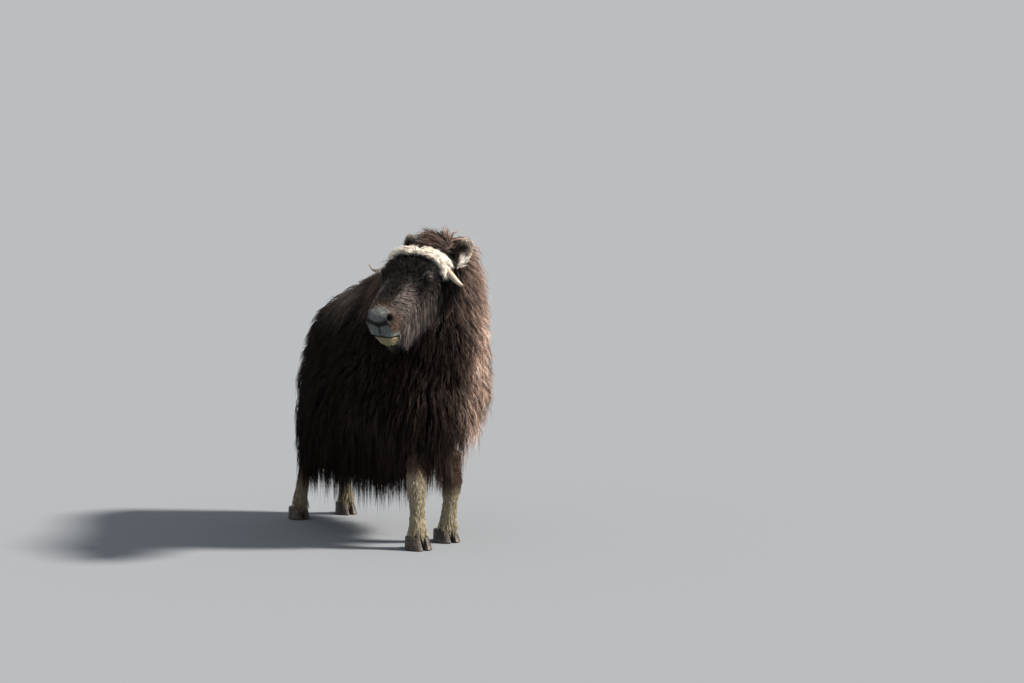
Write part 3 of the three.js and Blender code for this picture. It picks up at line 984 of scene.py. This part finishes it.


# What a plan's numbers say. Locks stand off the coat's outside by a share of their root's depth, from the
# root inwards (inset), reached after part of their length (rise). Tufts gather into their lock's line
# (clump), from no further off than spread. Tone runs from root_tone up, bleach_and_sheen lightens the tips
# as real bleaching and painted sheen together, and mottle makes locks differ.
PLAN = (
    "tufts", "locks", "rings", "length", "width", "wave", "wavelength", "clump", "spread", "inset", "rise",
    "frizz", "bleach_and_sheen", "root_tone", "mottle",
)
PLANS = {
    "flank": (
        20500, 3000, 4, flank_length, 0.0042, 0.0035, 0.15, 0.55, 0.030, (-0.08, 0.5), 0.6,
        0.0022, 0.25, 0.62, 0.18,
    ),
    "fore": (
        10800, 2500, 6, fore_length, 0.0031, 0.0058, 0.050, 0.55, 0.020, (-0.10, 0.5), 0.5,
        0.0030, 4.0, 0.5, 0.55,
    ),
    "mane": (
        6800, 2000, 4, same(0.11), 0.0033, 0.005, 0.050, 0.35, 0.020, (-0.05, 0.45), 0.7,
        0.0055, 1.8, 0.55, 0.35,
    ),
    "brow": (
        3800, 400, 5, same(0.040), 0.0028, 0.0045, 0.026, 0.42, 0.018, (-0.6, 0.3), 0.6,
        0.0022, 0.05, 0.92, 0.05,
    ),
    "horn_wool": (
        1500, 200, 5, same(0.046), 0.0028, 0.004, 0.024, 0.5, 0.014, (-1.1, 0.1), 0.5,
        0.0018, 0.05, 0.92, 0.05,
    ),
    "face": (
        9000, 2000, 3, face_length, 0.0022, 0.0013, 0.045, 0.4, 0.010, (-0.3, 0.5), 0.6,
        0.0010, 0.9, 0.45, 0.5,
    ),
    "muzzle": (
        5200, 900, 3, nose_length, 0.0014, 0.0003, 0.03, 0.4, 0.006, (0.1, 0.9), 0.8,
        0.0005, 0.2, 0.8, 0.2,
    ),
    "ears": (
        3000, 900, 3, same(0.026), 0.0021, 0.0012, 0.03, 0.4, 0.008, (-2.6, 0.8), 0.8,
        0.0024, 0.35, 0.75, 0.2,
    ),
    "legs": (
        6700, 1500, 3, leg_length, 0.0023, 0.0008, 0.04, 0.5, 0.012, (0.0, 0.6), 0.8,
        0.0008, 0.1, 0.85, 0.08,
    ),
}
# Where the coat lies flat behind the head (tuck, which also keeps the painted light to the lit side), how
# many tufts carry a painted glint, how loosely the locks keep to the coat's outside, and how the locks on
# top stand
EXTRAS = {
    "fore": {"tuck": 1.0, "glint_share": 0.4},
    "mane": {"tuck": 1.0, "glint_share": 0.25, "loose": 0.3, "crown": (-0.9, 0.0)},
    "horn_wool": {"loose": 0.7},
}


def coat_weights(table):
    """How densely each part of the coat grows on each of the skin's triangles."""
    zone = table["zone"]
    local = in_head(table["centres"])
    y, z = (table["centres"] - BODY)[:, 1:].T
    side, ahead, up = np.abs(local[:, 0]), local[:, 1], local[:, 2]
    head = (zone == FACE) | (zone == JAW)
    neck = zone == NECK
    band = (brow_wool(local, 0.050, 0.036) > 0.3) & (head | neck)
    fore = fade(-0.14, -0.26, y)
    crest = fade(0.86, 0.94, z)
    trunk = (zone == TRUNK) | (zone == TAIL)
    open_eye = from_eye(local) < 0.019
    in_nostril = np.linalg.norm(np.abs(local) * [1, 1, -1] - NOSTRIL, axis=1) < 0.013
    return {
        "flank": trunk * (1 - fore) * (0.7 + 1.0 * fade(0.55, 0.33, z)) * (1 + 4 * (zone == TAIL)),
        "fore": (trunk * fore + neck) * (1 - crest) * ~band,
        "mane": (trunk * fore + neck) * crest * ~band,
        "brow": band * 1.0,
        "horn_wool": band * (side > 0.066) * (up > -0.060),
        "face": head * ~band * fade(0.325, 0.285, ahead) * ~open_eye * (1 + 0.6 * fade(-0.06, -0.12, up)),
        "muzzle": head * fade(0.275, 0.325, ahead) * ~in_nostril,
        "ears": 1.0 * ((zone == EAR_LEFT) | (zone == EAR_RIGHT)),
        "legs": (zone >= FIRST_LEG) * (z < 0.36),
    }


MOST_TRIANGLES = 190000
FACE_PARTS = ("brow", "horn_wool", "face", "muzzle")
SLOTS = dict.fromkeys(FACE_PARTS, "face_hair") | {"legs": "leg_hair"}


def shown_sorted(tufts):
    """Tufts in order from front to back, so that a large part of the coat splits into neat pieces."""
    order = np.argsort(tufts["path"][:, 0, 1] + 0.3 * tufts["path"][:, 0, 0])
    return {key: value[order] for key, value in tufts.items()}


def coat_outside():
    """The outside of the whole coat as a search tree."""
    wrap = fused("coat_outside", FLESH, WRAP_VOXEL, 2)
    tree = search_tree(wrap.data)[0]
    bpy.data.objects.remove(wrap)
    return tree


def grow_coat(skin, zones, envelope, hair):
    """All parts of the coat. A part with too many triangles for one piece is split."""
    table = skin_tables(skin, zones)
    for part, weight in coat_weights(table).items():
        plan = dict(zip(PLAN, PLANS[part])) | EXTRAS.get(part, {})
        tufts = shown_sorted(grow(table, envelope, weight, plan))
        per = 6 * plan["rings"] - 2
        number = len(tufts["path"])
        pieces = math.ceil(number * per / MOST_TRIANGLES)
        cuts = np.linspace(0, number, pieces + 1).astype(int)
        for i in range(pieces):
            some = {key: value[cuts[i] : cuts[i + 1]] for key, value in tufts.items()}
            name = f"coat_{part}" if pieces == 1 else f"coat_{part}_{i + 1}"
            tuft_mesh(name, some, hair)


def unwrap_skin(skin):
    edit_all(skin, bpy.ops.uv.smart_project, angle_limit=math.radians(66), island_margin=0.001)
    skin.data.uv_layers[0].name = "OFBake"


# The skin shows only in the gaps between tufts, and is darker than they are
SKIN_TONE = 0.6


def colour_skin(skin, zones):
    points = places(skin)
    give_colours(skin, "coat_colour", markings(points, zone_of(points, zones)) * SKIN_TONE)


# Eyes, horns and hooves

def frame_piece(name, node, finish):
    """Names a finished piece, and lets it stand for its frame node."""
    piece = bpy.context.object
    piece.name = name
    piece.data.materials.clear()
    piece.data.materials.append(finish)
    pick(piece)
    bpy.ops.object.shade_smooth()
    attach(piece, "root")
    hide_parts(node)


CORNEA_BULGE = 0.07
PUPIL = (0.0046, 0.0021)
IRIS_EDGE = (0.0098, 0.0088)
IRIS_STREAKS = 17
EYE_RIM, IRIS = linear("191411"), linear("2c1b10")


def make_eye(name, way, finish):
    """An eyeball with a clear bulge over the iris; the pupil is a level slot."""
    bpy.ops.mesh.primitive_uv_sphere_add(segments=64, ring_count=48, radius=EYE_RADIUS)
    eye = bpy.context.object
    gaze = GAZE * [way, 1, 1]
    level = unit(np.cross([0, 0, 1.0], gaze))
    upward = np.cross(gaze, level)
    points = unit(places(eye))
    ahead = points[:, 2]
    radius = EYE_RADIUS * (1 + CORNEA_BULGE * fade(0.80, 0.97, ahead))
    local = (points[:, :1] * level + points[:, 1:2] * upward + points[:, 2:] * gaze) * radius[:, None]
    spread = np.arccos(np.clip(ahead, -1, 1)) * EYE_RADIUS
    slot = np.hypot(points[:, 0] * EYE_RADIUS / PUPIL[0], points[:, 1] * EYE_RADIUS / PUPIL[1])
    iris = fade(*IRIS_EDGE, spread)
    streak = 0.85 + 0.3 * bell(np.sin(np.arctan2(points[:, 1], points[:, 0]) * IRIS_STREAKS), 0, 0.5)
    tint = np.tile(EYE_RIM, (len(points), 1)) * (1 - iris[:, None])
    tint += iris[:, None] * np.array(IRIS) * streak[:, None] * fade(0.75, 1.1, slot)[:, None]
    give_colours(eye, "eye_colour", tint)
    move_to(eye, out_of_head(local + np.array(EYE) * [way, 1, 1]))
    edit_all(eye, bpy.ops.mesh.normals_make_consistent, inside=False)
    frame_piece(f"eyeball_{name[4:]}", name, finish)


# Share of the way to the nose, out from the middle, level, radius
HORN_ROW = np.array([
    (0.02, 0.070, -0.052, 0.0130), (0.03, 0.086, -0.060, 0.0130), (0.06, 0.120, -0.084, 0.0120),
    (0.09, 0.146, -0.100, 0.0090), (0.115, 0.166, -0.106, 0.0062), (0.13, 0.179, -0.102, 0.0035),
    (0.135, 0.1875, -0.090, 0.0010),
])
HORN_LIFT = {"horn_left": -0.009, "horn_right": 0.032}
HORN_TUCK = {"horn_left": 0.0, "horn_right": 0.010}
HORN_RINGS, HORN_SIDES = 48, 32
GROWTH_DEPTH = 0.022


def smooth_row(row, count):
    """Places along a curve that passes through every row."""
    at = np.linspace(0, len(row) - 1.001, count)
    low = at.astype(int)
    t = (at - low)[:, None]
    p = [row[np.clip(low + k, 0, len(row) - 1)] for k in (-1, 0, 1, 2)]
    bend = (2 * p[1]) + (p[2] - p[0]) * t + (2 * p[0] - 5 * p[1] + 4 * p[2] - p[3]) * t**2
    return 0.5 * (bend + (3 * p[1] - p[0] - 3 * p[2] + p[3]) * t**3)


def make_horn(name, way, finish):
    """A round rod, drawn out along the horn's curve and thinned to its tip."""
    bpy.ops.mesh.primitive_circle_add(vertices=HORN_SIDES, radius=1, fill_type="NGON")
    horn = bpy.context.object
    bpy.ops.object.mode_set(mode="EDIT")
    bpy.ops.mesh.select_all(action="SELECT")
    for _ in range(HORN_RINGS):
        bpy.ops.mesh.extrude_region_move(TRANSFORM_OT_translate={"value": (0, 0, 1)})
    bpy.ops.object.mode_set(mode="OBJECT")
    row = HORN_ROW.copy()
    steps = np.clip(np.arange(len(row)) - 1, 0, 5) / 5
    row[:, 1] -= HORN_TUCK[name] * steps
    row[:, 2] += HORN_LIFT[name] * steps**1.5
    row = smooth_row(row, HORN_RINGS + 1)
    middle = np.stack([way * row[:, 1], row[:, 0] * HEAD_LENGTH, row[:, 2]], 1)
    along = unit(np.gradient(middle, axis=0))
    across = unit(np.cross(along, [0, 1.0, 0.1]))
    over = np.cross(along, across)
    points = places(horn)
    ring = np.rint(points[:, 2]).astype(int)
    angle = np.arctan2(points[:, 1], points[:, 0])
    # shallow growth rings near the root, none at the tip
    share = ring / HORN_RINGS
    growth = 1 + GROWTH_DEPTH * np.sin(ring * 1.35) * fade(0.55, 0.2, share)
    radius = (row[ring, 3] * growth)[:, None]
    round_it = np.cos(angle)[:, None] * across[ring] + np.sin(angle)[:, None] * over[ring]
    move_to(horn, out_of_head(middle[ring] + radius * round_it))
    edit_all(horn, bpy.ops.mesh.normals_make_consistent, inside=False)
    give_colours(horn, "horn_share", np.repeat(share[:, None], 3, 1))
    frame_piece(f"horn_sheath_{name[5:]}", name, finish)


CLAW_EDGE, CLAW_VOXEL = 4 * MM, 1.6 * MM
RING_PITCH, RING_DEPTH = 0.0052, 0.0005


def make_hoof(node, finish):
    """A claw with softened edges and shallow growth rings, with nothing below the floor."""
    hoof = node_copy(node)
    turn = math.radians(40)
    take_modifier(hoof, "BEVEL", width=CLAW_EDGE, segments=3, limit_method="ANGLE", angle_limit=turn)
    remesh(hoof, CLAW_VOXEL, 3)
    points, out = places(hoof), facing(hoof)
    wall = fade(0.006, 0.014, points[:, 2]) * fade(0.7, 0.3, np.abs(out[:, 2]))
    points -= out * (RING_DEPTH * (1 + np.sin(points[:, 2] / RING_PITCH * 2 * math.pi)) * wall)[:, None]
    points[:, 2] = np.maximum(points[:, 2], 0)
    move_to(hoof, points)
    pick(hoof)
    frame_piece(f"claw_{node[5:]}", node, finish)


# Finishes

# In millimetres
SCUFF_SIZE = 18.182


def streaks(tree, sizes, strength):
    """Fine fibres: a noise drawn out to sizes in millimetres along x, y and z, as a tone about 1."""
    place = add_node(tree, "ShaderNodeTexCoord").outputs["Object"]
    scales = [1 / (size * MM) for size in sizes]
    stretch = add_node(tree, "ShaderNodeVectorMath", {"operation": "MULTIPLY"}, _0=place, _1=scales)
    grain = add_node(tree, "ShaderNodeTexNoise", Vector=stretch.outputs["Vector"], Scale=1.0, Detail=3.0)
    low, high = 1 - strength, 1 + strength
    return add_node(
        tree, "ShaderNodeMapRange", Value=grain.outputs["Fac"],
        From_Min=0.3, From_Max=0.7, To_Min=low, To_Max=high,
    ).outputs["Result"]


def coloured(tree, surface, colour, tone):
    """Base colour: a colour, or the colours kept at a piece's vertices by that name, times a tone."""
    if isinstance(colour, str):
        kept = add_node(tree, "ShaderNodeAttribute", {"attribute_name": colour})
        colour = kept.outputs["Color"]
    base = surface.inputs["Base Color"]
    add_node(tree, "ShaderNodeVectorMath", {"operation": "SCALE"}, base, _0=colour, Scale=tone)


def hair_finish():
    """Long guard hair: dark and dull at the root, a soft silky sheen along its length.

    Its streaks are coarser than single hairs, so that they show.
    """
    dull = {"Roughness": 0.42, "Specular_IOR_Level": 0.1}
    material, tree, surface = new_material("muskox_guard_hair", **dull)
    coloured(tree, surface, "coat_colour", streaks(tree, (8.3333, 8.3333, 20), 0.22))
    return material


def hide_finish():
    """Hide under short flat hair: fine downward streaks that break up the light."""
    material, tree, surface = new_material("muskox_hide", Roughness=0.62, Specular_IOR_Level=0.2)
    tone = streaks(tree, (2, 2, 6.25), 0.3)
    coloured(tree, surface, "coat_colour", tone)
    normal = surface.inputs["Normal"]
    add_node(tree, "ShaderNodeBump", into=normal, Height=tone, Strength=0.5, Distance=2 * MM)
    return material


def horn_finish():
    """Horn keratin: creamy and slightly glossy, fibres along its length, darker towards the tip."""
    material, tree, surface = new_material("horn_keratin", Roughness=0.42, Subsurface_Weight=0.05)
    share = add_node(tree, "ShaderNodeAttribute", {"attribute_name": "horn_share"})
    ramp = add_node(tree, "ShaderNodeValToRGB", Fac=share.outputs["Fac"])
    stops = ramp.color_ramp.elements
    stops[0].position, stops[0].color = 0.25, (*linear("8c7f6e"), 1)
    stops[1].position, stops[1].color = 0.55, (*linear("bdb2a0"), 1)
    tip = stops.new(0.97)
    tip.color = (*linear("85776a"), 1)
    tone = streaks(tree, (6.25, 6.25, 1.4286), 0.16)
    coloured(tree, surface, ramp.outputs["Color"], tone)
    normal = surface.inputs["Normal"]
    add_node(tree, "ShaderNodeBump", into=normal, Height=tone, Strength=0.25, Distance=1 * MM)
    return material


def hoof_finish():
    """Hoof keratin: dark, worn dull, with scuffs and faint upright fibres."""
    material, tree, surface = new_material("hoof_keratin", Roughness=0.5)
    fibres = streaks(tree, (1.4286, 1.4286, 16.667), 0.25)
    place = add_node(tree, "ShaderNodeTexCoord").outputs["Object"]
    scuffs = add_node(tree, "ShaderNodeTexNoise", Vector=place, Scale=1 / (SCUFF_SIZE * MM), Detail=5.0)
    ramp = add_node(tree, "ShaderNodeValToRGB", Fac=scuffs.outputs["Fac"])
    stops = ramp.color_ramp.elements
    stops[0].position, stops[0].color = 0.38, (*linear("1f1a17"), 1)
    stops[1].position, stops[1].color = 0.68, (*linear("4d443b"), 1)
    coloured(tree, surface, ramp.outputs["Color"], fibres)
    normal = surface.inputs["Normal"]
    add_node(tree, "ShaderNodeBump", into=normal, Height=fibres, Strength=0.3, Distance=1 * MM)
    return material


def eye_finish():
    """A wet eye: near-black, with a clear hard gloss over it."""
    gloss = {"Specular_IOR_Level": 0.25, "Coat_Weight": 0.3, "Coat_Roughness": 0.05}
    material, tree, surface = new_material("wet_eye", Roughness=0.25, **gloss)
    coloured(tree, surface, "eye_colour", streaks(tree, (1.1111, 1.1111, 1.1111), 0.2))
    return material


set_stage()
skin = make_skin()
unwrap_skin(skin)
zones = search_tree(*map(node_mesh, FLESH))
trunk_outside = search_tree(node_mesh("trunk"))[0]
envelope = coat_outside()
colour_skin(skin, zones)
skin.data.materials.append(hide_finish())
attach(skin, "root")
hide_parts(*FLESH)
grow_coat(skin, zones, envelope, hair_finish())
wet, keratin, claw = eye_finish(), horn_finish(), hoof_finish()
for side, way in (("left", 1), ("right", -1)):
    make_eye(f"eye_{side}", way, wet)
    make_horn(f"horn_{side}", way, keratin)
for foot in ("front_left", "front_right", "hind_left", "hind_right"):
    for place in ("inner", "outer"):
        make_hoof(f"hoof_{foot}_{place}", claw)
